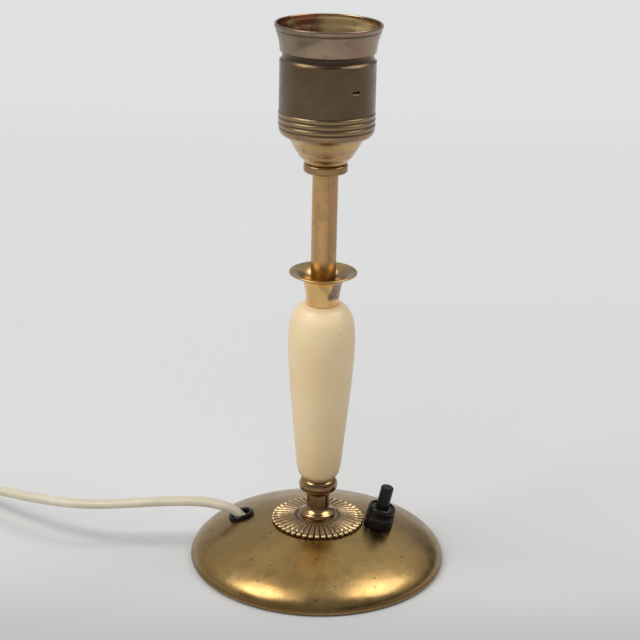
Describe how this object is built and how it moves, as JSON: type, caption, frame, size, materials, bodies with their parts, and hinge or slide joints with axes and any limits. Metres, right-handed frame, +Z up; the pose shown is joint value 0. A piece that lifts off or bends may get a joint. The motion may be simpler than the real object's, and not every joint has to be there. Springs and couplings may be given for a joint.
{
  "type": "table lamp base",
  "caption": "Brass and wood candlestick table lamp base with a bare E27 lampholder, foot switch and flat flex.",
  "frame": {"origin": "middle of the foot's underside, on the table", "axes": "+Z up along the stem, -Y to the viewer, +X towards the switch"},
  "size_m": [0.331, 0.1376, 0.2441],
  "materials": {
    "aged_brass": "satin, brown with age",
    "cast_brass": "polished on the ribs, dark in the grooves",
    "turned_brass": "turned and lacquered, worn",
    "lacquered_wood": "ivory lacquer over turned wood",
    "tinted_cap": "lacquered, tinted yellow and rose",
    "browned_shell": "browned, bright on the edges",
    "porcelain": "glazed, white",
    "contact_brass": "bright",
    "steel": "zinc plated",
    "ballast_iron": "as cast",
    "felt": "dark green felt",
    "black_moulding": "glossy black",
    "cream_flex": "cream, slightly glossy",
    "tie_plastic": "cream strap",
    "plated_pins": "nickel plated",
    "blue_wire": "single wire",
    "brown_wire": "single wire"
  },
  "bodies": {
    "lamp": {"base_shell": "aged_brass", "rosette": "cast_brass", "stem_collar": "turned_brass", "drip_cup": "turned_brass", "stem_tube": "turned_brass", "holder_ring": "turned_brass", "wood_body": "lacquered_wood", "lampholder_cap": "tinted_cap", "lampholder_shell": "browned_shell", "lampholder_insert": "porcelain", "thread_sleeve": "contact_brass", "centre_contact": "contact_brass", "side_contact": "contact_brass", "terminal_blocks": "contact_brass", "switch_lugs": "contact_brass", "threaded_rod": "steel", "rod_nut": "steel", "rod_washer": "steel", "cap_nut": "steel", "terminal_screws": "steel", "cord_clip": "steel", "clip_screws": "steel", "switch_spring": "steel", "bottom_plate": "steel", "base_ballast": "ballast_iron", "felt_pad": "felt", "switch_nut": "black_moulding", "switch_housing": "black_moulding", "switch_disc": "black_moulding", "grommet": "black_moulding", "cord_free": "cream_flex", "cord_coil": "cream_flex", "cord_tail": "cream_flex", "inner_cord": "cream_flex", "plug_body": "cream_flex", "coil_tie": "tie_plastic", "plug_pins": "plated_pins", "neutral_lead": "blue_wire", "live_lead": "brown_wire", "switched_lead": "brown_wire"},
    "button": {"switch_button": "black_moulding"}
  },
  "joints": [
    {"name": "button_press", "type": "slide", "parent": "lamp", "child": "button", "axis": [-0.201, 0.0105, -0.9795], "range_m": [0, 0.003], "stiffness_N_per_m": 1200, "deforming": ["switch_spring"]}
  ]
}
